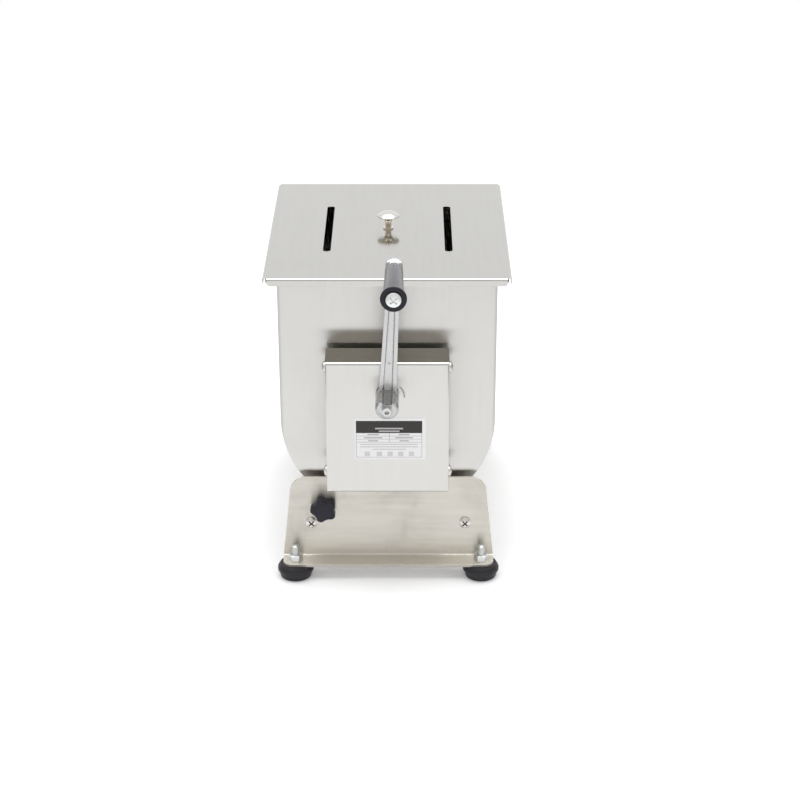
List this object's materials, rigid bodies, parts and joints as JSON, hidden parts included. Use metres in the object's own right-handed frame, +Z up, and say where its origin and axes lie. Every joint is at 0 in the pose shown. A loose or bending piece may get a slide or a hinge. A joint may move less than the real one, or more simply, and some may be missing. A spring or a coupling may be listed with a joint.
{
  "type": "meat mixer",
  "caption": "Hand-cranked meat mixer: lidded U-shaped steel tub that tilts between two folded stands, with a geared crank on the front and a bladed paddle inside.",
  "frame": {"origin": "on the floor under the middle of the overall box", "axes": "+Z up, the crank faces -Y, +X to the right seen from the crank"},
  "size_m": [0.25, 0.4438, 0.3735],
  "materials": {
    "brushed_sheet": "brushed stainless sheet",
    "machined_steel": "turned and ground stainless",
    "zinc_hardware": "bright zinc plate",
    "chromed_casting": "polished, bright plated casting",
    "polished_knob": "polished stainless",
    "gear_steel": "oiled steel",
    "bronze_bush": "sintered bronze",
    "white_plastic": "food-safe white plastic",
    "black_plastic": "smooth black moulding",
    "black_rubber": "matt black rubber"
  },
  "bodies": {
    "base": {"front_stand": "brushed_sheet", "rear_stand": "brushed_sheet", "tie_rods": "machined_steel", "tie_rod_screws": "zinc_hardware", "rubber_feet": "black_rubber", "foot_studs": "zinc_hardware", "foot_nuts": "zinc_hardware", "front_pivot_bush": "white_plastic", "rear_pivot_bush": "white_plastic", "bearing_bridge": "gear_steel", "bridge_screws": "zinc_hardware", "crank_rear_bush": "bronze_bush", "crank_front_bush": "bronze_bush", "drive_bush": "bronze_bush", "gearbox_cover": "brushed_sheet", "cover_screws": "zinc_hardware", "cover_weld_nuts": "zinc_hardware", "lock_weld_nut": "zinc_hardware"},
    "lock_slide": {"lock_washer": "zinc_hardware"},
    "lock_knob": {"lock_screw": "zinc_hardware", "star_knob": "black_plastic"},
    "tub": {"tub": "brushed_sheet", "front_trunnion": "machined_steel", "rear_trunnion": "machined_steel", "front_shaft_bush": "white_plastic", "rear_shaft_bush": "white_plastic", "lock_lug": "machined_steel"},
    "lid": {"lid": "brushed_sheet", "lid_knob": "polished_knob", "lid_knob_washer": "zinc_hardware", "lid_knob_nut": "zinc_hardware"},
    "paddle": {"drive_gear": "gear_steel", "gear_key": "machined_steel", "drive_shaft": "machined_steel", "drive_ring": "gear_steel", "paddle_tube": "machined_steel", "mixing_blade_1": "machined_steel", "mixing_blade_2": "machined_steel", "mixing_blade_3": "machined_steel", "mixing_blade_4": "machined_steel", "rear_axle": "machined_steel", "cross_pins": "machined_steel"},
    "crank": {"crank_shaft": "machined_steel", "crank_ring": "gear_steel", "pinion_gear": "gear_steel", "pinion_key": "machined_steel", "crank_arm": "chromed_casting", "crank_washer": "zinc_hardware", "crank_screw": "zinc_hardware", "grip_collar": "zinc_hardware", "grip_bolt": "zinc_hardware"},
    "grip": {"grip": "black_plastic"}
  },
  "joints": [
    {"name": "tub_tilt", "type": "hinge", "parent": "base", "child": "tub", "pos_m": [0, 0.04895, 0.173], "axis": [0, 1, 0], "range_deg": [-85, 85]},
    {"name": "lid_lift", "type": "slide", "parent": "tub", "child": "lid", "axis": [0, 0, 1], "range_m": [0, 0.15]},
    {"name": "paddle_spin", "type": "hinge", "parent": "base", "child": "paddle", "pos_m": [0, 0.04895, 0.173], "axis": [0, 1, 0], "continuous": true},
    {"name": "crank_turn", "type": "hinge", "parent": "base", "child": "crank", "pos_m": [0, -0.13085, 0.221], "axis": [0, 1, 0], "continuous": true},
    {"name": "grip_spin", "type": "hinge", "parent": "crank", "child": "grip", "pos_m": [0.00733, -0.14365, 0.36081], "axis": [0, 1, 0], "continuous": true},
    {"name": "lock_travel", "type": "slide", "parent": "base", "child": "lock_slide", "axis": [0, -1, 0], "range_m": [0, 0.0026]},
    {"name": "lock_turn", "type": "hinge", "parent": "lock_slide", "child": "lock_knob", "pos_m": [-0.0675, -0.09405, 0.07731], "axis": [0, -1, 0], "range_deg": [0, 720]}
  ],
  "couplings": [
    {"joint": "crank_turn", "follows": "paddle_spin", "ratio": -3},
    {"joint": "lock_travel", "follows": "lock_turn", "m_per_rad": 0.00019894}
  ]
}
